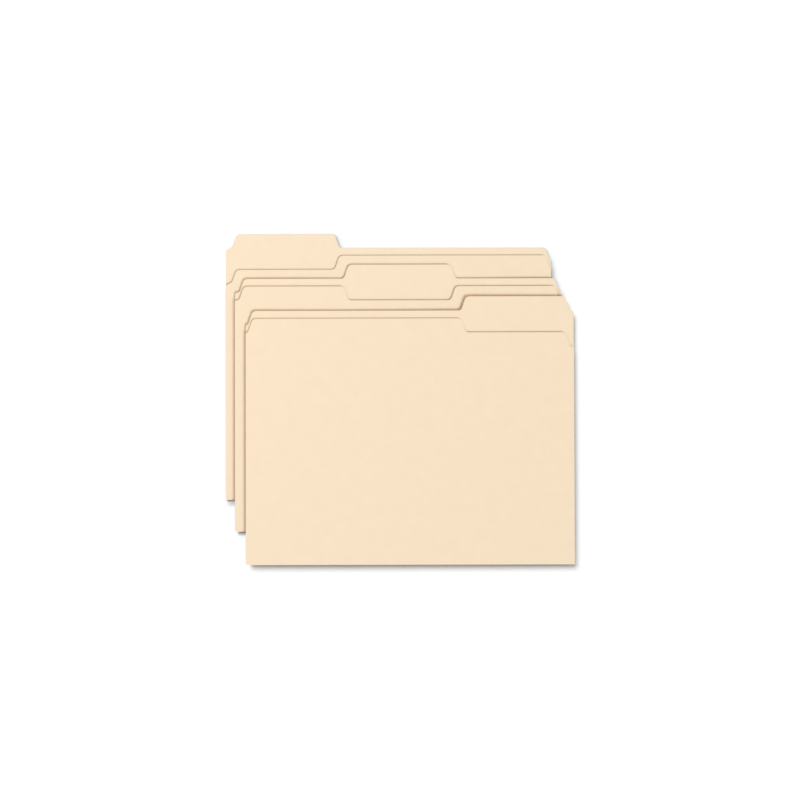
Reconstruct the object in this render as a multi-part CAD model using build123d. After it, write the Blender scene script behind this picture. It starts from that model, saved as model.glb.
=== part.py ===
from build123d import *
import math
import os

# Three third-cut file folders in buff card, lying in a fanned pile. Each one is a single die-cut
# sheet, folded once: a back leaf with a tab, a rounded fold, and a shorter front leaf that is cut
# away under the tab. X runs along the folds, Y from the folds to the tabs, Z up from the table.
# The origin is under the middle of the pile, on the table. All sizes are millimetres and degrees.

# The sheet, letter size; heights are taken over the outside of the fold
sheet_width = 295.3
card_thickness = 0.28
back_height = 228.6
tab_height = 12.7
front_drop = 7.1

# Where the tabs begin and end along the sheet
left_tab_width = 101.1
center_tab_start = 100.6
center_tab_width = 96.7
right_tab_width = 99.2

# The die line: every change of level is one slope, rounded more at its head than at its foot
slope_angle = 71.0
slope_head_radius = 4.8
slope_foot_radius = 3.4
side_corner_radius = 1.5

# The cut of the outer corners: how far in from each side the slope lies, how far it drops, and how
# steeply the shoulder falls from the foot of the slope to the side
left_tab_folder_left_inset = 7.7
left_tab_folder_right_inset = 3.0
left_tab_folder_corner_drop = 11.2
left_tab_folder_shoulder_slant = 28.0
center_tab_folder_left_inset = 6.0
center_tab_folder_right_inset = 4.0
center_tab_folder_corner_drop = 12.2
center_tab_folder_shoulder_slant = 8.0
right_tab_folder_left_inset = 4.1
right_tab_folder_right_inset = 5.6
right_tab_folder_corner_drop = 12.3
right_tab_folder_shoulder_slant = 20.0

# The fold is rounded, and each front leaf leans from it towards the back leaf; the mouth is the
# gap that is left between the two leaves at the free edge of the front one
fold_inner_radius = 1.35
left_mouth = 0.9
center_mouth = 1.1
right_mouth = 0.85

# How the pile is fanned: each folder lies on the fold below it, to the right and further down, and
# falls a little from its own fold to the free edge of its back leaf
center_shift_x = 8.9
center_shift_y = 28.3
center_fall = 0.65
right_shift_x = 10.3
right_shift_y = 29.4
right_fall = 0.56
lying_clearance = 0.5

fold_outer_radius = fold_inner_radius + card_thickness
slope_rise = math.tan(math.radians(slope_angle))
tab_run = tab_height / slope_rise
half_width = sheet_width / 2


def side_corner(inset, drop, shoulder_slant, level):
    """The die line at one side: distance in from the side, height and radius of each corner.

    The slope ends on a slanted shoulder, or runs straight out over the side of the sheet where the
    inset leaves no room for a shoulder.
    """
    run = drop / slope_rise
    head = inset + run / 2
    foot = inset - run / 2
    if foot <= 0:
        side_level = level - head * slope_rise
        return [(0, side_level, side_corner_radius), (head, level, slope_head_radius)]
    slant = math.radians(shoulder_slant)
    foot_level = level - drop
    side_level = foot_level - foot * math.tan(slant)
    foot_turn = math.radians(slope_angle) - slant
    side_turn = math.radians(90) - slant
    foot_share = slope_foot_radius * math.tan(foot_turn / 2)
    side_share = side_corner_radius * math.tan(side_turn / 2)
    shoulder_length = foot / math.cos(slant)
    room = min(1.0, 0.95 * shoulder_length / (foot_share + side_share))
    return [
        (0, side_level, side_corner_radius * room),
        (foot, foot_level, slope_foot_radius * room),
        (head, level, slope_head_radius),
    ]


def leaf_outline(base, step, tab_from, tab_to, cut):
    """One leaf, from the fold line at Y = 0 up to its base level, with a step up or down at the tab.

    The tab runs between two places across the sheet; at a side of the sheet there is no slope.
    """
    left_inset, right_inset, drop, slant = cut
    at_left = tab_from <= -half_width
    at_right = tab_to >= half_width
    left_level = base + step if at_left else base
    right_level = base + step if at_right else base
    upper = slope_head_radius
    lower = slope_foot_radius
    outer, inner = (lower, upper) if step > 0 else (upper, lower)

    corners = [(inward - half_width, y, radius)
               for inward, y, radius in side_corner(left_inset, drop, slant, left_level)]
    if not at_left:
        corners.append((tab_from - tab_run / 2, base, outer))
        corners.append((tab_from + tab_run / 2, base + step, inner))
    if not at_right:
        corners.append((tab_to - tab_run / 2, base + step, inner))
        corners.append((tab_to + tab_run / 2, base, outer))
    for inward, y, radius in reversed(side_corner(right_inset, drop, slant, right_level)):
        corners.append((half_width - inward, y, radius))

    points = [(x, y) for x, y, radius in corners]
    radii = [radius for x, y, radius in corners]
    fold_left = (-half_width, 0)
    fold_right = (half_width, 0)
    cut_edge = FilletPolyline(fold_left, *points, fold_right, radius=radii)
    fold_edge = Line(fold_right, fold_left)
    return make_face([*cut_edge.edges(), fold_edge])


def folder(tab_from, tab_to, mouth, cut):
    """Back leaf, fold and front leaf, with the axis of the fold along X through the origin."""
    back_reach = back_height - fold_outer_radius
    front_reach = back_reach - front_drop
    lean = math.degrees(math.asin((2 * fold_inner_radius - mouth) / front_reach))
    back_leaf = extrude(leaf_outline(back_reach, tab_height, tab_from, tab_to, cut), card_thickness)
    back_leaf = Pos(0, 0, -fold_outer_radius) * back_leaf

    # The die takes one tab height out of the front leaf, so that the whole tab can be read
    front_leaf = extrude(leaf_outline(front_reach, -tab_height, tab_from, tab_to, cut), card_thickness)
    front_leaf = Rot(-lean, 0, 0) * Pos(0, 0, fold_inner_radius) * front_leaf

    # The card bends round from the front leaf to the back leaf
    card_edge = Plane.XZ * Pos(0, fold_inner_radius + card_thickness / 2) * Rectangle(
        sheet_width, card_thickness)
    fold = revolve(Rot(-lean, 0, 0) * card_edge, Axis.X, 180 + lean)
    return {"back_leaf": back_leaf, "fold": fold, "front_leaf": front_leaf}


left_cut = (left_tab_folder_left_inset, left_tab_folder_right_inset,
            left_tab_folder_corner_drop, left_tab_folder_shoulder_slant)
center_cut = (center_tab_folder_left_inset, center_tab_folder_right_inset,
              center_tab_folder_corner_drop, center_tab_folder_shoulder_slant)
right_cut = (right_tab_folder_left_inset, right_tab_folder_right_inset,
             right_tab_folder_corner_drop, right_tab_folder_shoulder_slant)
center_tab_from = center_tab_start - half_width
left_folder = folder(-half_width, left_tab_width - half_width, left_mouth, left_cut)
center_folder = folder(center_tab_from, center_tab_from + center_tab_width, center_mouth, center_cut)
right_folder = folder(half_width - right_tab_width, half_width, right_mouth, right_cut)

# Each folder lies on the rounded fold of the one below
layer_pitch = 2 * fold_outer_radius + lying_clearance
center_tilt = math.degrees(math.asin(center_fall / back_height))
right_tilt = math.degrees(math.asin(right_fall / back_height))
left_place = Pos(0, 0, fold_outer_radius)
center_level = left_place * Pos(center_shift_x, -center_shift_y, layer_pitch)
right_level = center_level * Pos(right_shift_x, -right_shift_y, layer_pitch)
center_place = center_level * Rot(-center_tilt, 0, 0)
right_place = right_level * Rot(-right_tilt, 0, 0)

# The origin goes under the middle of the pile
low_y = right_place.position.Y - fold_outer_radius
high_y = back_height - fold_outer_radius + tab_height
to_middle = Pos(-right_place.position.X / 2, -(low_y + high_y) / 2, 0)

pile = {
    "left": (to_middle * left_place, left_folder),
    "center": (to_middle * center_place, center_folder),
    "right": (to_middle * right_place, right_folder),
}

os.makedirs("parts", exist_ok=True)
for name, (place, pieces) in pile.items():
    axis_point = place.position
    print(f"{name} fold axis: {axis_point.X:.4f} {axis_point.Y:.4f} {axis_point.Z:.4f}")
    for piece, solid in pieces.items():
        export_step(place * solid, f"parts/{name}_{piece}.step")
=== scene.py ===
# %% [markdown]
# # A fanned pile of three manila folders
#
# Each one is a single die-cut sheet, folded once at the bottom: a back leaf that carries a tab, a
# rounded fold, and a front leaf that is cut away under the tab. They lie on one another, each a
# little lower and further right than the one below. The solids of the part give every place and size;
# this file gives the sheets their true, unbroken surface, the look of the card, a floor, the light
# and the camera.

import math

import bpy
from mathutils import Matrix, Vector


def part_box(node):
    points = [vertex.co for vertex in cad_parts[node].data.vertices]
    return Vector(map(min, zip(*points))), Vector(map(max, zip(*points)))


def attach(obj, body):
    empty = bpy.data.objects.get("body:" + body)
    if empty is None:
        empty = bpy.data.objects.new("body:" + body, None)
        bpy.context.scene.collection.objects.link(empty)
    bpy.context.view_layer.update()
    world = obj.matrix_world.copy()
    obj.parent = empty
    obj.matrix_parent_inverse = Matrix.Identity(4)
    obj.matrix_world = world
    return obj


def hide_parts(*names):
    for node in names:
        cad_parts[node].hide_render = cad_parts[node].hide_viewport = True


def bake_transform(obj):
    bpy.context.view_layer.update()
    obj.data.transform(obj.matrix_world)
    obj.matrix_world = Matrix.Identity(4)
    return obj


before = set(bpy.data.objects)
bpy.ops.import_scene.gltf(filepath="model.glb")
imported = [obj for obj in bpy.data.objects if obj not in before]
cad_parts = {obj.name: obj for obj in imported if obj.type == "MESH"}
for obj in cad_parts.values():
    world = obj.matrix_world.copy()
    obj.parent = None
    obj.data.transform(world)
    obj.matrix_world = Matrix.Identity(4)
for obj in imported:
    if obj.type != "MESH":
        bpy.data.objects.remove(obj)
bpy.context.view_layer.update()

# %% [markdown]
# ## The sizes of the sheet
#
# All three folders come off the same kind of die, so they share one set of sizes: the sheet and its
# tab, the steep slopes of the cut with their rounded heads and feet, and the round of the fold. The
# values repeat those of the solids, so that the sheets fill exactly the same box.

# %% Sizes that all folders share
MM = 0.001
SHEET_WIDTH = 295.3 * MM
CARD = 0.28 * MM                        # the thickness of the card
BACK_HEIGHT = 228.6 * MM                # over the outside of the fold, without the tab
TAB_HEIGHT = 12.7 * MM
FRONT_DROP = 7.1 * MM                   # how much lower the front leaf ends
SLOPE = math.radians(71.0)
HEAD_RADIUS = 4.8 * MM                  # at the head of a slope
FOOT_RADIUS = 3.4 * MM                  # at its foot
SIDE_RADIUS = 1.5 * MM                  # where the cut meets the side of the sheet
FOLD_RADIUS = 1.35 * MM + CARD / 2      # to the middle of the card
BACK_REACH = BACK_HEIGHT - FOLD_RADIUS - CARD / 2
FRONT_REACH = BACK_REACH - FRONT_DROP
print("reach from the fold's axis:", round(BACK_REACH / MM, 2), "and", round(FRONT_REACH / MM, 2), "mm")

# %% [markdown]
# ## What differs between the folders
#
# A set of folders has its tabs in three places, so that all of them can be read at once. Besides the
# third that carries the tab, the cut of the outer corners, the gap at the mouth and the fall of a
# folder towards its tab differ. Three models could be made by hand, but a table shows at a glance what
# is the same and what isn't. The place of each fold is read from its solid and not written down again.

# %% The three folders
# In millimetres and degrees: the third with the tab, the two lines where tabs begin or end, the gap at
# the mouth, the fall, how far in the outer corners are cut, how far they drop, and the slant of their
# shoulders
FOLDERS = {
    "left": {"third": "Left", "lines": (-46.55, 48.45), "mouth": 0.90, "fall": 0.0,
             "insets": (7.7, 3.0), "drop": 11.2, "slant": 28.0},
    "center": {"third": "Middle", "lines": (-47.05, 49.65), "mouth": 1.10, "fall": 0.65,
               "insets": (6.0, 4.0), "drop": 12.2, "slant": 8.0},
    "right": {"third": "Right", "lines": (-46.55, 48.45), "mouth": 0.85, "fall": 0.56,
              "insets": (4.1, 5.6), "drop": 12.3, "slant": 20.0},
}


def fold_axis(name):
    """The middle of a folder's fold: halfway across, and in the centre of its round."""
    low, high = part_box(f"{name}_fold")
    return Vector(((low.x + high.x) / 2, low.y + FOLD_RADIUS + CARD / 2, (low.z + high.z) / 2))


for name in FOLDERS:
    print(name, "fold axis at", [round(v / MM, 2) for v in fold_axis(name)], "mm")

# %% [markdown]
# ## Writing node trees as sums
#
# Both the sheets and the finishes are node trees. Placing nodes one by one hides the rule that they
# stand for, so a small class wraps an output socket and turns +, -, * and / into Math nodes.


# %% A wire that can be used in a sum
class Wire:
    """One output socket of a tree."""

    def __init__(self, bench, socket):
        self.bench = bench
        self.socket = socket

    def maths(self, operation, *others):
        """A Math node on this value and the others that it needs."""
        return self.bench.node("ShaderNodeMath", {"operation": operation}, [self, *others])

    def also(self, name):
        """Another output of the same node."""
        return Wire(self.bench, self.socket.node.outputs[name])

    def clamped(self):
        """The same value, held between 0 and 1."""
        return self.bench.node("ShaderNodeClamp", None, [self])

    def __add__(self, other):
        return self.maths("ADD", other)

    def __sub__(self, other):
        return self.maths("SUBTRACT", other)

    def __rsub__(self, other):
        return self.bench.node("ShaderNodeMath", {"operation": "SUBTRACT"}, [other, self])

    def __mul__(self, other):
        return self.maths("MULTIPLY", other)

    def __truediv__(self, other):
        return self.maths("DIVIDE", other)

    def __rtruediv__(self, other):
        return self.bench.node("ShaderNodeMath", {"operation": "DIVIDE"}, [other, self])

    __radd__ = __add__
    __rmul__ = __mul__


print("wires can be used in sums")

# %% [markdown]
# ## The bench
#
# Every other node comes from one method of a bench, which stands for the tree that is being written.
# The method sets the node's own options first, because some of them change which sockets there are,
# and then the sockets. Two things that are needed often, a vector from three numbers and a mix of two
# colours, have short forms.


# %% The bench that holds the nodes
class Bench:
    """A node tree that is being written."""

    def __init__(self, tree):
        self.tree = tree

    def node(self, kind, settings=None, sockets=None, output=0):
        """A new node, and the wire that leaves one of its outputs.

        Two of the settings are lists inside a node: "stops" gives the places and colours of a ramp,
        and "items" is the number of values that an index switch chooses from.
        """
        made = self.tree.nodes.new(kind)
        for option, value in (settings or {}).items():
            if option == "stops":
                for stop, (place, colour) in zip(made.color_ramp.elements, value):
                    stop.position = place
                    stop.color = (*colour, 1)
            elif option == "items":
                while len(made.index_switch_items) < value:
                    made.index_switch_items.new()
            else:
                setattr(made, option, value)
        pairs = sockets.items() if isinstance(sockets, dict) else enumerate(sockets or [])
        for key, value in pairs:
            if isinstance(value, Wire):
                self.tree.links.new(value.socket, made.inputs[key])
            else:
                made.inputs[key].default_value = value
        return Wire(self, made.outputs[output]) if made.outputs else None

    def xyz(self, x=0.0, y=0.0, z=0.0):
        return self.node("ShaderNodeCombineXYZ", None, [x, y, z])

    def mix(self, share, first, second):
        """A colour between two: the first one where the share is 0, the second one where it is 1."""
        sockets = {0: share, 6: first, 7: second}
        return self.node("ShaderNodeMix", {"data_type": "RGBA"}, sockets, output=2)


def empty_bench(owner):
    """A bench for the tree of a material or of the world, with nothing on it yet."""
    owner.use_nodes = True
    owner.node_tree.nodes.clear()
    return Bench(owner.node_tree)


print("node bench ready")

# %% [markdown]
# ## The grain of the card
#
# Manila card is a smooth, uncoated buff board. Seen close, it is not one colour: the pulp lies in soft
# clouds, long fibres run with the grain along the fold, a few dark specks of bark are left in, and the
# whole face has a fine tooth. A picture of real card could be laid on, but it would show its seams.
# Noise never repeats, so each of the four is a noise, stretched as the fibres lie. They read the flat
# coordinates that each sheet stores, so that the grain stays in the card when a leaf opens.

# %% Clouds, fibres, specks and tooth
# How each noise is stretched along the fold and across it, its scale and its detail
GRAIN = {
    "clouds": ((1, 1), 90, 3),
    "fibres": ((350, 2300), 1, 4),
    "specks": ((900, 1300), 1, 1),
    "tooth": ((1, 1), 4200, 2),
}
GRAIN_ROUGHNESS = 0.6
SHEETS_APART = 31.0     # far enough for each sheet to have a grain of its own


def card_grain(bench, flat):
    """The four noises by name, each between 0 and 1."""
    grain = {}
    for name, ((along, across), scale, detail) in GRAIN.items():
        stretch = (along, across, SHEETS_APART)
        place = bench.node("ShaderNodeVectorMath", {"operation": "MULTIPLY"}, [flat, stretch])
        sockets = {"Vector": place, "Scale": scale, "Detail": detail, "Roughness": GRAIN_ROUGHNESS}
        grain[name] = bench.node("ShaderNodeTexNoise", {"noise_dimensions": "3D"}, sockets, output="Fac")
    return grain


print("grain of the card:", ", ".join(GRAIN))

# %% [markdown]
# ## The marks on the card, and painted shade at the crease and the rim
#
# Making and handling leave their marks on a folder. The crease is a little darker, partly from handling and
# partly as painted shade that tones down the light on the round of the fold. The rim beside the cut is
# darker as well, partly where the die bruises the card and fingers soil it, and partly as painted shade
# along the edges of the sheet. The cut itself shows the paler core of the board. Such marks could be
# painted on by hand, but each one lies at a known distance from the crease or from the cut, so a mark is 1
# there and falls to 0 over its reach.

# %% Bark, crease with painted shade, rim with bruise and painted shade, and cut
BARK_FROM = 0.735       # the level of the specks above which bark shows
BARK_RISE = 14.0        # how sharply it begins
# the darker crease is partly handling wear and partly painted shade on the round of the fold
CREASE_WEAR_AND_SHADE_REACH = 4.0 * MM
# the darker rim beside the cut is partly bruise and soil and partly painted shade along the edges
RIM_WEAR_AND_SHADE_REACH = 1.0 * MM
CUT_REACH = 0.12 * MM


def near(distance, reach):
    """1 at no distance, and 0 from the reach on."""
    return (1 - distance / reach).clamped()


def card_marks(bench, specks, flat, to_cut):
    """How strongly each mark shows, by name, in the order in which they lie over the buff."""
    from_crease = bench.node("ShaderNodeSeparateXYZ", None, [flat]).also("Y").maths("ABSOLUTE")
    return {
        "bark": ((specks - BARK_FROM) * BARK_RISE).clamped(),
        # partly painted shade: the darker crease damps the light on the round of the fold
        "crease": near(from_crease, CREASE_WEAR_AND_SHADE_REACH),
        # partly painted shade: the darker rim along the cut, besides bruise and soil
        "rim_wear_and_shade": near(to_cut, RIM_WEAR_AND_SHADE_REACH),
        "cut": near(to_cut, CUT_REACH),
    }


print("the crease reaches", CREASE_WEAR_AND_SHADE_REACH / MM, "mm to each side, the bruised rim", RIM_WEAR_AND_SHADE_REACH / MM, "mm")

# %% [markdown]
# ## Manila card
#
# The finish brings grain and marks together. Clouds and fibres choose between a darker and a paler buff,
# and each mark lays its own colour over that; the darker crease and the darker rim beside the cut are
# partly painted shade. The face is dull, with hardly any polish from the rollers, and roughest at the cut.
# A very slight bump from fibres and tooth breaks up the light.

# %% Card finish
BUFF_DARK = (0.930, 0.758, 0.554)
BUFF_PALE = (0.966, 0.802, 0.602)
MARK_COLOURS = {    # how much of the colour a full mark shows, and the colour
    "bark": (0.35, (0.56, 0.38, 0.22)),
    # darker crease: partly rubbed by handling, partly painted shade that damps the light on the round of
    # the fold
    "crease": (0.75, (0.84, 0.69, 0.52)),
    # darker rim beside the cut: partly bruise and soil, partly painted shade along the edges of the sheet
    "rim_wear_and_shade": (0.10, (0.72, 0.55, 0.37)),
    "cut": (0.60, (0.95, 0.85, 0.72)),
}
CARD_ROUGHNESS = 0.74       # the least; clouds, fibres and the cut add to it
CARD_GLOSS = 0.06
BUMP_STRENGTH = 0.12
BUMP_HEIGHT = 0.05 * MM


def manila_card():
    material = bpy.data.materials.new("manila_card")
    bench = empty_bench(material)
    flat = bench.node("ShaderNodeAttribute", {"attribute_name": "flat_sheet"}, output="Vector")
    to_cut = bench.node("ShaderNodeAttribute", {"attribute_name": "to_cut"}, output="Fac")
    grain = card_grain(bench, flat)
    clouds = grain["clouds"]
    fibres = grain["fibres"]
    marks = card_marks(bench, grain["specks"], flat, to_cut)

    colour = bench.node("ShaderNodeValToRGB", {"stops": [(0.25, BUFF_DARK), (0.75, BUFF_PALE)]},
                        [clouds * 0.55 + fibres * 0.45])
    for name, (share, mark_colour) in MARK_COLOURS.items():
        colour = bench.mix(marks[name] * share, colour, (*mark_colour, 1))

    rough = CARD_ROUGHNESS + clouds * 0.10 + fibres * 0.06 + marks["cut"] * 0.12
    height = fibres * 0.6 + grain["tooth"] * 0.4
    bump = bench.node("ShaderNodeBump", None, {
        "Strength": BUMP_STRENGTH, "Distance": BUMP_HEIGHT, "Height": height})
    shader = bench.node("ShaderNodeBsdfPrincipled", None, {
        "Base Color": colour, "Roughness": rough, "Normal": bump, "Specular IOR Level": CARD_GLOSS})
    bench.node("ShaderNodeOutputMaterial", None, {"Surface": shader})
    return material


card_finish = manila_card()
print("card finish has", len(card_finish.node_tree.nodes), "nodes")

# %% [markdown]
# ## A geometry tree with named sizes
#
# The shape of a folder follows a rule, so it is written once, as a geometry tree, and each folder puts
# its own sizes in. A tree has an input for every size, under the name that a maker would use. They
# could be plain numbers inside the tree, but then each folder would need a tree of its own.


# %% An empty geometry tree
def new_group(name, numbers, others):
    """An empty geometry tree with named inputs, and a bench and wires to write it with."""
    tree = bpy.data.node_groups.new(name, "GeometryNodeTree")
    tree.interface.new_socket("Geometry", in_out="OUTPUT", socket_type="NodeSocketGeometry")
    for label in numbers:
        tree.interface.new_socket(label, in_out="INPUT", socket_type="NodeSocketFloat")
    for label, kind in others:
        tree.interface.new_socket(label, in_out="INPUT", socket_type=kind)
    bench = Bench(tree)
    entry = tree.nodes.new("NodeGroupInput")
    wires = {socket.name: Wire(bench, socket) for socket in entry.outputs if socket.name}
    return tree, bench, wires


print("geometry trees can have named sizes")

# %% [markdown]
# ## The corners of the die line
#
# The free edge of a leaf is one line drawn by the cutting die: it comes up one side, turns over a
# slanted shoulder, climbs a steep slope, runs level, climbs or drops at the tab, and goes down the
# other side the same way. It could be traced point by point, but every corner follows from the sizes.
# A slope is rounded more at its head than at its foot. Where the shoulder is short, its two rounds
# shrink until they fit on it.

# %% Corners at a side and at a tab
LEAST_SHOULDER = 0.05 * MM      # what stays of a shoulder when the slope runs out over the side
SHOULDER_SHARE = 0.95           # how much of a shoulder its two rounds may take up


def side_corners(size, inset, level):
    """Distance in from the side, height and radius of the four corners at one side, from below."""
    rise = size["Slope"].maths("TANGENT")
    slant = size["Shoulder Slant"]
    half_run = size["Corner Drop"] / rise * 0.5
    head = inset + half_run
    foot = (inset - half_run).maths("MAXIMUM", LEAST_SHOULDER)
    foot_level = level - (head - foot) * rise
    side_level = foot_level - foot * slant.maths("TANGENT")

    foot_share = size["Foot Radius"] * ((size["Slope"] - slant) * 0.5).maths("TANGENT")
    side_share = size["Side Radius"] * ((math.pi / 2 - slant) * 0.5).maths("TANGENT")
    shoulder = foot / slant.maths("COSINE")
    room = (SHOULDER_SHARE * shoulder / (foot_share + side_share)).maths("MINIMUM", 1.0)
    return [
        (0.0, side_level - side_share * room, 0.0),
        (0.0, side_level, size["Side Radius"] * room),
        (foot, foot_level, size["Foot Radius"] * room),
        (head, level, size["Head Radius"]),
    ]


def step_corners(size, line, before, after):
    """The two corners of a change of level, the upper one with the larger radius."""
    half_run = size["Tab Height"] / size["Slope"].maths("TANGENT") * 0.5
    up = (after - before).maths("GREATER_THAN", 0.0)
    less = size["Head Radius"] - size["Foot Radius"]
    return [
        (line - half_run, before, size["Head Radius"] - less * up),
        (line + half_run, after, size["Foot Radius"] + less * up),
    ]


print("a short shoulder keeps its rounds within", SHOULDER_SHARE, "of its length")

# %% [markdown]
# ## The die line
#
# The tree puts twelve corners in a row. Fillet Curve rounds them, and Resample Curve spreads the
# columns of the sheet evenly along the line. Both leaves use the tree, the front one with the tab's
# height taken away where the back one adds it.

# %% Die line tree
THIRDS = ("Left", "Middle", "Right")
DIE_SIZES = [
    "Left Line", "Right Line", "Left Inset", "Right Inset", "Tab Height", "Corner Drop", "Slope",
    "Shoulder Slant", "Head Radius", "Foot Radius", "Side Radius"]
ROUND_POINTS = 10       # on each rounded corner


def die_line_tree():
    numbers = ["Half Width", *[f"{third} Level" for third in THIRDS], *DIE_SIZES]
    tree, bench, size = new_group("Die line", numbers, [("Columns", "NodeSocketInt")])
    half = size["Half Width"]
    left, middle, right = [size[f"{third} Level"] for third in THIRDS]
    corners = [(x - half, y, r) for x, y, r in side_corners(size, size["Left Inset"], left)]
    corners += step_corners(size, size["Left Line"], left, middle)
    corners += step_corners(size, size["Right Line"], middle, right)
    corners += [(half - x, y, r) for x, y, r in reversed(side_corners(size, size["Right Inset"], right))]

    count = len(corners)
    index = bench.node("GeometryNodeInputIndex")
    places = [bench.xyz(x, y) for x, y, r in corners]
    radii = [r for x, y, r in corners]
    place = bench.node("GeometryNodeIndexSwitch", {"data_type": "VECTOR", "items": count}, [index, *places])
    radius = bench.node("GeometryNodeIndexSwitch", {"data_type": "FLOAT", "items": count}, [index, *radii])
    points = bench.node("GeometryNodeMeshLine", {"mode": "OFFSET"}, {"Count": count})
    points = bench.node("GeometryNodeSetPosition", None, {"Geometry": points, "Position": place})
    line = bench.node("GeometryNodeMeshToCurve", None, {"Mesh": points})
    line = bench.node("GeometryNodeFilletCurve", {"mode": "POLY"}, {
        "Curve": line, "Count": ROUND_POINTS, "Radius": radius, "Limit Radius": True})
    line = bench.node("GeometryNodeResampleCurve", {"mode": "COUNT"}, {
        "Curve": line, "Count": size["Columns"]})
    bench.node("NodeGroupOutput", None, [line])
    return tree


die_line = die_line_tree()
print("die line tree has", len(die_line.nodes), "nodes")

# %% [markdown]
# ## Columns of the sheet
#
# A folder is a single sheet, so one rule makes the whole surface and not two plates and a tube. The
# rule starts from a grid with a column for each point of the die line. A point of the grid asks the
# die line of each leaf how high the leaf is in its column, and how level the cut runs there.

# %% Grid, and the free edge of a leaf
COLUMNS = 480
FRONT_ROWS = 22
FOLD_ROWS = 18
BACK_ROWS = 22
ROWS = FRONT_ROWS + FOLD_ROWS + BACK_ROWS + 1


def counted_grid(bench):
    """A grid, and the column and the row of each of its points."""
    grid = bench.node("GeometryNodeMeshGrid", None, {
        "Size X": 1.0, "Size Y": 1.0, "Vertices X": COLUMNS, "Vertices Y": ROWS})
    where = bench.node("ShaderNodeSeparateXYZ", None, [bench.node("GeometryNodeInputPosition")])
    column = ((where + 0.5) * (COLUMNS - 1)).maths("ROUND")
    row = ((where.also("Y") + 0.5) * (ROWS - 1)).maths("ROUND")
    return grid, column, row


def free_edge(bench, size, column, height, sign):
    """Where the free edge of a leaf is in each column, across and up, and how level it runs there."""
    levels = {f"{third} Level": height + size[f"Tab {third}"] * size["Tab Height"] * sign
              for third in THIRDS}
    sizes = {label: size[label] for label in DIE_SIZES}
    line = bench.node("GeometryNodeGroup", {"node_tree": die_line}, {
        "Half Width": size["Sheet Width"] * 0.5, "Columns": COLUMNS, **levels, **sizes})
    found = []
    for field in ("GeometryNodeInputPosition", "GeometryNodeInputTangent"):
        value = bench.node("GeometryNodeSampleIndex", {"data_type": "FLOAT_VECTOR", "clamp": True}, {
            "Geometry": line, "Value": bench.node(field), "Index": column})
        found.append(bench.node("ShaderNodeSeparateXYZ", None, [value]))
    place, way = found
    return place, place.also("Y"), way.maths("ABSOLUTE")


print("the grid has", COLUMNS, "columns and", ROWS, "rows")

# %% [markdown]
# ## Rows of the sheet
#
# The rows run from the free edge of the front leaf down to the fold, round it, and up the back leaf.
# They could lie evenly, but the free edges are what wears and waves, so rows crowd there. One narrow
# row of flat card on each side of the round belongs to the fold, so that the strip that bends can be
# cut off as a piece that meets both leaves exactly.

# %% How far along the sheet each row lies
STRIP = 1.0 * MM    # how much flat card on each side of the round belongs to the strip
CROWDING = 1.7      # how strongly the rows crowd towards the free edges
FOLD_END = FRONT_ROWS + FOLD_ROWS


def row_runs(bench, row, front_height, back_height):
    """How far a row lies out on the front leaf and on the back leaf, and its share of the turn."""
    def share(start, length):
        settings = {"operation": "DIVIDE", "use_clamp": True}
        return bench.node("ShaderNodeMath", settings, [row - start, length])

    front_out = 1 - share(0.0, FRONT_ROWS - 1).maths("POWER", CROWDING)
    front_strip = 1 - share(FRONT_ROWS - 1, 1)
    back_strip = share(FOLD_END, 1)
    back_out = 1 - (1 - share(FOLD_END + 1, BACK_ROWS - 1)).maths("POWER", CROWDING)
    front_run = (front_height - STRIP) * front_out + front_strip * STRIP
    back_run = (back_height - STRIP) * back_out + back_strip * STRIP
    return front_run, back_run, share(FRONT_ROWS, FOLD_ROWS)


print("the round of the fold takes rows", FRONT_ROWS, "to", FOLD_END)

# %% [markdown]
# ## The bend, the wave and the fall
#
# One formula puts every point in place: along the leaf by its run, and off the fold's axis by the
# fold's radius, turned by its share of the bend. The free edges lift in a slow, slight wave, as card
# that has been handled does; a cloth simulation could bend them too, but a sine keeps the fold
# straight and the leaves apart. Last, the whole folder falls a little towards its tab.

# %% Where a point of the folded sheet lies
WAVE = 0.40 * MM
WAVE_ACROSS = 23.0      # radians for each metre across, about one wave to a sheet
WAVE_OUTWARD = 2.0      # radians from the fold to the free edge, so that the crests slant
WAVE_APART = 1.9        # radians from one folder to the next


def bent_place(bench, size, x, front_run, back_run, turn):
    """The place of a point, from its runs along the leaves and its share of the turn."""
    lean = size["Lean"]
    radius = size["Fold Radius"]
    angle = lean - turn * (lean + math.pi)
    y = front_run * lean.maths("COSINE") + back_run + radius * angle.maths("SINE")
    z = radius * angle.maths("COSINE") - front_run * lean.maths("SINE")

    reach = (front_run + back_run) / size["Back Reach"]
    phase = x * WAVE_ACROSS + reach * WAVE_OUTWARD + size["Number"] * WAVE_APART
    wave = phase.maths("SINE") * 0.5 + 0.5
    z = z + wave * size["Wave"] * reach * reach

    cosine = size["Fall"].maths("COSINE")
    sine = size["Fall"].maths("SINE")
    place = bench.xyz(x, y * cosine + z * sine, z * cosine - y * sine)
    return bench.node("ShaderNodeVectorMath", {"operation": "ADD"}, [place, size["Place"]])


print("the free edges wave by up to", round(WAVE / MM, 2), "mm")

# %% [markdown]
# ## One sheet, folded once
#
# A second tree brings grid, rows and bend together. Before the sheet is bent, it stores what the finish
# reads: the flat coordinates of each point and how far it is from the nearest cut. The tree gives any
# run of rows, so that the two leaves and the strip between them can be separate pieces.

# %% Folded sheet tree
TOUCHING = 0.001 * MM       # points nearer than this are one


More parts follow.
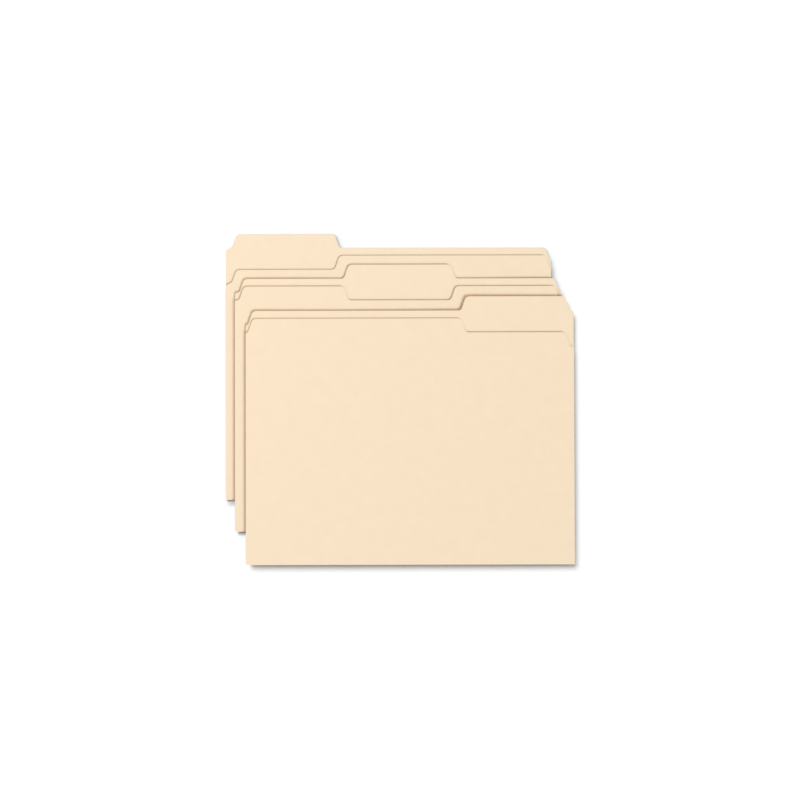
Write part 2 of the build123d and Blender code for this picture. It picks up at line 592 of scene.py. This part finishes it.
def folded_sheet_tree():
    numbers = ["Sheet Width", "Back Reach", "Front Drop", *DIE_SIZES, "Fold Radius", "Lean", "Fall", "Wave",
               "Number", *[f"Tab {third}" for third in THIRDS], "First Row", "Last Row"]
    others = [("Place", "NodeSocketVector"), ("Finish", "NodeSocketMaterial")]
    tree, bench, size = new_group("Folded sheet", numbers, others)
    sheet, column, row = counted_grid(bench)
    x, back_height, back_level = free_edge(bench, size, column, size["Back Reach"], 1.0)
    front_reach = size["Back Reach"] - size["Front Drop"]
    _, front_height, front_level = free_edge(bench, size, column, front_reach, -1.0)
    front_run, back_run, turn = row_runs(bench, row, front_height, back_height)

    along = front_run - back_run + size["Fold Radius"] * math.pi * (0.5 - turn)
    flat = bench.xyz(x, along, size["Number"])
    to_cut = size["Sheet Width"] * 0.5 - x.maths("ABSOLUTE")
    to_cut = to_cut.maths("MINIMUM", (front_height - front_run) * front_level)
    to_cut = to_cut.maths("MINIMUM", (back_height - back_run) * back_level)
    outside = (size["First Row"] - row).maths("MAXIMUM", row - size["Last Row"]).maths("GREATER_THAN", 0.5)
    placed = bent_place(bench, size, x, front_run, back_run, turn)

    steps = [
        ("StoreNamedAttribute", {"data_type": "FLOAT_VECTOR"}, {"Name": "flat_sheet", "Value": flat}),
        ("StoreNamedAttribute", {"data_type": "FLOAT"}, {"Name": "to_cut", "Value": to_cut}),
        ("DeleteGeometry", {"domain": "POINT"}, {"Selection": outside}),
        ("SetPosition", None, {"Position": placed}),
        ("MergeByDistance", None, {"Distance": TOUCHING}),
        ("SetShadeSmooth", None, {}),
        ("RealizeInstances", None, {}),
        ("SetMaterial", None, {"Material": size["Finish"]}),
    ]
    for kind, settings, sockets in steps:
        sheet = bench.node(f"GeometryNode{kind}", settings, {"Geometry": sheet, **sockets})
    bench.node("NodeGroupOutput", None, [sheet])
    return tree


folded_sheet = folded_sheet_tree()
print("folded sheet tree has", len(folded_sheet.nodes), "nodes")

# %% [markdown]
# ## Lean and fall
#
# The front leaf comes off the top of the round and leans down towards the back leaf, and the whole
# folder falls a little from its fold to its tab. Both are small angles that nobody measures on a
# folder. What can be seen is the gap at the mouth and how much lower the free edge lies, so the angles
# are worked out from those.


# %% Angles of a folder
def lean_of(folder):
    return math.asin((2 * FOLD_RADIUS - CARD - folder["mouth"] * MM) / FRONT_REACH)


def fall_of(folder):
    return math.asin(folder["fall"] * MM / BACK_HEIGHT)


for name, folder in FOLDERS.items():
    angles = [round(math.degrees(angle), 2) for angle in (lean_of(folder), fall_of(folder))]
    print(name, "front leaf leans and folder falls by", angles, "degrees")

# %% [markdown]
# ## From rule to surface
#
# Each folder puts its own values into the tree and takes three runs of rows as plain meshes: the front
# leaf, the strip at the fold and the back leaf. The modifier could stay live, but a plain mesh is what
# a body of the part can carry, and what the next steps can measure.

# %% Surfaces of the leaves and folds
RUNS = {    # the first and the last row of each piece
    "front_leaf": (0, FRONT_ROWS - 1),
    "fold": (FRONT_ROWS - 1, FOLD_END + 1),
    "back_leaf": (FOLD_END + 1, ROWS - 1),
}


def as_mesh(piece):
    """Takes what the modifiers make as the piece's own mesh, and removes the modifiers."""
    graph = bpy.context.evaluated_depsgraph_get()
    made = bpy.data.meshes.new_from_object(
        piece.evaluated_get(graph), preserve_all_data_layers=True, depsgraph=graph)
    made.name = piece.name
    piece.modifiers.clear()
    piece.data = made


def make_surface(number, name, part):
    """One run of rows of a folder's sheet, with no thickness yet."""
    folder = FOLDERS[name]
    left_line, right_line = folder["lines"]
    left_inset, right_inset = folder["insets"]
    first_row, last_row = RUNS[part]
    values = {
        "Sheet Width": SHEET_WIDTH, "Back Reach": BACK_REACH, "Tab Height": TAB_HEIGHT,
        "Front Drop": FRONT_DROP, "Left Line": left_line * MM, "Right Line": right_line * MM,
        "Left Inset": left_inset * MM, "Right Inset": right_inset * MM,
        "Corner Drop": folder["drop"] * MM, "Slope": SLOPE,
        "Shoulder Slant": math.radians(folder["slant"]), "Head Radius": HEAD_RADIUS,
        "Foot Radius": FOOT_RADIUS, "Side Radius": SIDE_RADIUS, "Fold Radius": FOLD_RADIUS,
        "Lean": lean_of(folder), "Fall": fall_of(folder), "Wave": WAVE, "Number": float(number),
        **{f"Tab {third}": float(third == folder["third"]) for third in THIRDS},
        "First Row": float(first_row), "Last Row": float(last_row),
        "Place": fold_axis(name), "Finish": card_finish}
    piece = bpy.data.objects.new(f"{name}_tab_{part}", bpy.data.meshes.new(name))
    bpy.context.scene.collection.objects.link(piece)
    rule = piece.modifiers.new("folded sheet", "NODES")
    rule.node_group = folded_sheet
    for socket in folded_sheet.interface.items_tree:
        if socket.in_out == "INPUT":
            rule[socket.identifier] = values[socket.name]
    as_mesh(piece)
    return piece


pieces = {}
for number, name in enumerate(FOLDERS):
    for part in RUNS:
        pieces[name, part] = make_surface(number, name, part)
        print(name, part, "surface has", len(pieces[name, part].data.vertices), "points")

# %% [markdown]
# ## From surface to card
#
# Solidify gives the surface the thickness of the card. A knife cut leaves two arrises, which handling
# soon breaks. Bevel does that, but only along the cut: a weight keeps it off the ends where the pieces
# meet, so that no line shows there. Weighted Normal keeps the broad faces flat in the light right up
# to the arrises.

# %% Thickness and broken arrises
ARRIS = 0.06 * MM
ARRIS_SEGMENTS = 2
SHARP = math.radians(60)


def thicken(piece):
    """Gives a surface the thickness of the card and breaks the long edges of its cut."""
    one_side = len(piece.data.vertices)
    wall = piece.modifiers.new("card", "SOLIDIFY")
    wall.thickness = CARD
    wall.offset = 0.0
    as_mesh(piece)

    mesh = piece.data
    cut = [item.value < TOUCHING for item in mesh.attributes["to_cut"].data]
    weight = mesh.attributes.new("bevel_weight_edge", "FLOAT", "EDGE")
    for edge, item in zip(mesh.edges, weight.data):
        a, b = edge.vertices
        item.value = float(cut[a] and cut[b] and (a < one_side) == (b < one_side))
    arris = piece.modifiers.new("arris", "BEVEL")
    arris.width = ARRIS
    arris.segments = ARRIS_SEGMENTS
    arris.limit_method = "WEIGHT"
    as_mesh(piece)

    piece.data.set_sharp_from_angle(angle=SHARP)
    flatten = piece.modifiers.new("flat faces", "WEIGHTED_NORMAL")
    flatten.keep_sharp = True
    as_mesh(piece)


for piece in pieces.values():
    thicken(piece)

# %% [markdown]
# ## Let the leaves open
#
# Each leaf follows its own body of the part. The strip at the fold is attached to no body here: its place
# is taken into its mesh, and it stays where it lies.

for (name, part), piece in pieces.items():
    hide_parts(f"{name}_{part}")
    if part != "fold":
        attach(piece, f"{name}_{part.split('_')[0]}")
        continue
    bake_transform(piece)

# %% [markdown]
# ## White that shows, and light that goes on
#
# The photograph's background is plain white. More light would give that too, but it would bleach the
# cards. Light Path tells the rays apart instead: one that shows the floor or the room, straight or in
# a reflection, finds it white, and one that only carries light on finds a plain, dimmer tone.


# %% Rays that show the white
def seen_white(bench):
    """1 for a ray that shows the white itself, and 0 for one that lights."""
    ray = bench.node("ShaderNodeLightPath")
    shows = ray.also("Is Camera Ray") + ray.also("Is Glossy Ray") + ray.also("Is Transmission Ray")
    return shows.maths("MINIMUM", 1.0)


print("white shows to camera, glossy and transmission rays")

# %% [markdown]
# ## The finish of the floor
#
# The folders lie on a pale, dull surface; a faint grain keeps it from being one flat colour. In the
# photograph the shadow on it is as wide beside the lowest folder, which is hardly higher there than its
# card, as beside the top one. A lamp alone can't do that, so the finish itself darkens beside a low
# edge: Ambient Occlusion looks a few millimetres along the floor, to the upper left, and tells how much
# stands in the way. Light that goes on from the floor to a raised leaf finds it mid grey, so that the
# leaf isn't bleached from below.

# %% Floor finish
FLOOR_DARK = (0.828, 0.89, 0.966)
FLOOR_PALE = (0.848, 0.91, 0.986)
FLOOR_FOR_LIGHT = (0.50, 0.55, 0.60)
FLOOR_GRAIN = 400.0
SHADE_REACH = 7.0 * MM
SHADE_FROM = (-0.76, 0.62, 0.06)    # the way in which the floor looks for what stands on it
SHADE_STRENGTH = 2.2
DARKEST_SHADE = 0.55


def white_floor():
    material = bpy.data.materials.new("white_floor")
    bench = empty_bench(material)
    place = bench.node("ShaderNodeTexCoord", output="Object")
    grain = bench.node("ShaderNodeTexNoise", None, {
        "Vector": place, "Scale": FLOOR_GRAIN, "Detail": 2.0}, output="Fac")
    white = bench.node("ShaderNodeValToRGB", {"stops": [(0.3, FLOOR_DARK), (0.7, FLOOR_PALE)]}, [grain])
    clear = bench.node("ShaderNodeAmbientOcclusion", {"samples": 16}, {
        "Distance": SHADE_REACH, "Normal": bench.xyz(*SHADE_FROM)}, output="AO")
    shade = (1 - (1 - clear) * SHADE_STRENGTH).maths("MAXIMUM", DARKEST_SHADE)
    white = bench.node("ShaderNodeVectorMath", {"operation": "SCALE"}, {"Vector": white, "Scale": shade})
    colour = bench.mix(seen_white(bench), (*FLOOR_FOR_LIGHT, 1), white)
    shader = bench.node("ShaderNodeBsdfPrincipled", None, {
        "Base Color": colour, "Roughness": 0.9, "Specular IOR Level": 0.1})
    bench.node("ShaderNodeOutputMaterial", None, {"Surface": shader})
    return material


floor_finish = white_floor()
print("floor finish has", len(floor_finish.node_tree.nodes), "nodes")

# %% [markdown]
# ## The floor
#
# The floor is one large plane that runs out of sight on all sides. It lies a hair below the lowest
# card, because two faces at the same height would flicker through each other.

# %% Floor
FLOOR_REACH = 12.0
FLOOR_LEVEL = -0.2 * MM

floor_mesh = bpy.data.meshes.new("floor")
floor_corners = [(x * FLOOR_REACH, y * FLOOR_REACH, FLOOR_LEVEL)
                 for x, y in ((-1, -1), (1, -1), (1, 1), (-1, 1))]
floor_mesh.from_pydata(floor_corners, [], [(0, 1, 2, 3)])
floor_mesh.materials.append(floor_finish)
floor = bpy.data.objects.new("floor", floor_mesh)
bpy.context.scene.collection.objects.link(floor)
print("floor is", 2 * FLOOR_REACH, "m across")

# %% [markdown]
# ## The light of the room
#
# The light in the room is soft and comes from all round, so the world itself gives it. It is a warm
# light: a shadow on the cards, which only the room lights, is brown in the photograph.

# %% World
ROOM_LIGHT = 0.41
ROOM_COLOUR = (1.20, 1.0, 0.80)
WHITE = (1, 1, 1)

world = bpy.data.worlds.new("white room")
bpy.context.scene.world = world
room = empty_bench(world)
glow = tuple(ROOM_LIGHT * c for c in ROOM_COLOUR)
colour = room.mix(seen_white(room), (*glow, 1), (*WHITE, 1))
background = room.node("ShaderNodeBackground", None, {"Color": colour, "Strength": 1.0})
room.node("ShaderNodeOutputWorld", None, {"Surface": background})
print("the room gives", [round(c, 3) for c in glow])

# %% [markdown]
# ## The lamps
#
# One lamp low on the right, in front of the pile, draws the thin shadows above the top edges and left
# of the side edges. It is cool, so that it is white together with the warm room. A small window on the
# left makes that side of the cards a little brighter. On the white surface the shadow lies on the other
# side, right of and below the pile, so the surface has its own lamp at the upper left. Light linking
# lets each lamp light only what it is meant for. The lamps' strengths are worked out from the share of
# full light that they add, so that the whole stays at a plain level.


# %% Lamps and what they light
def add_lamp(label, kind, direction, lit, colour=WHITE):
    """A lamp that points in a direction and lights only the given pieces."""
    holder = bpy.data.objects.new(label, bpy.data.lights.new(label, kind))
    holder.data.color = colour
    holder.rotation_euler = direction.to_track_quat("-Z", "Y").to_euler()
    group = bpy.data.collections.new(f"lit by {label}")
    for piece in lit:
        group.objects.link(piece)
    holder.light_linking.receiver_collection = group
    bpy.context.scene.collection.objects.link(holder)
    return holder


def sun(label, towards, share, softness, lit, colour=WHITE):
    """A lamp far away that adds the given share of full light to a level surface."""
    direction = Vector(towards).normalized()
    lamp = add_lamp(label, "SUN", direction, lit, colour).data
    lamp.energy = share * math.pi / -direction.z
    lamp.angle = math.radians(softness)
    print(label, "energy", round(lamp.energy, 3))


def panel(label, place, across, share, lit):
    """A square lamp near the pile that adds the given share at the middle of it, and less further off."""
    direction = -Vector(place)
    holder = add_lamp(label, "AREA", direction, lit)
    holder.location = place
    holder.data.size = across
    holder.data.energy = share * math.pi ** 2 * direction.length ** 3 / holder.location.z
    print(label, "energy", round(holder.data.energy, 3))


cards = list(pieces.values())
COOL = (0.845, 1.0, 1.16)
sun("key lamp", towards=(-0.69, 0.81, -1.0), share=0.49, softness=28.0, lit=cards, colour=COOL)
panel("window", place=(-0.60, 0.30, 0.70), across=0.5, share=0.10, lit=cards)
sun("floor lamp", towards=(0.38, -0.56, -1.0), share=0.75, softness=30.0, lit=[floor])

# %% [markdown]
# ## The camera
#
# The photograph looks straight down on the pile, here from a little under a metre. The pile lies a hair
# askew in it and not quite in the middle. Turning and moving the pile would give that as well, but the
# part has its place in the frame, so the camera is moved, and turned by about a seventh of a degree.

# %% Camera
SENSOR_WIDTH = 36.0                     # in millimetres, as the lens is
LENS = 39.589
CAMERA_PLACE = (0.680 * MM, -1.475 * MM, 0.8)
CAMERA_TURN = math.radians(-0.14)

lens = bpy.data.cameras.new("camera")
lens.sensor_width = SENSOR_WIDTH
lens.lens = LENS
camera = bpy.data.objects.new("camera", lens)
camera.location = CAMERA_PLACE
camera.rotation_euler = (0, 0, CAMERA_TURN)
bpy.context.scene.collection.objects.link(camera)
bpy.context.scene.camera = camera
bpy.context.scene.view_settings.view_transform = "Standard"
print("camera at", [round(v, 4) for v in camera.location])
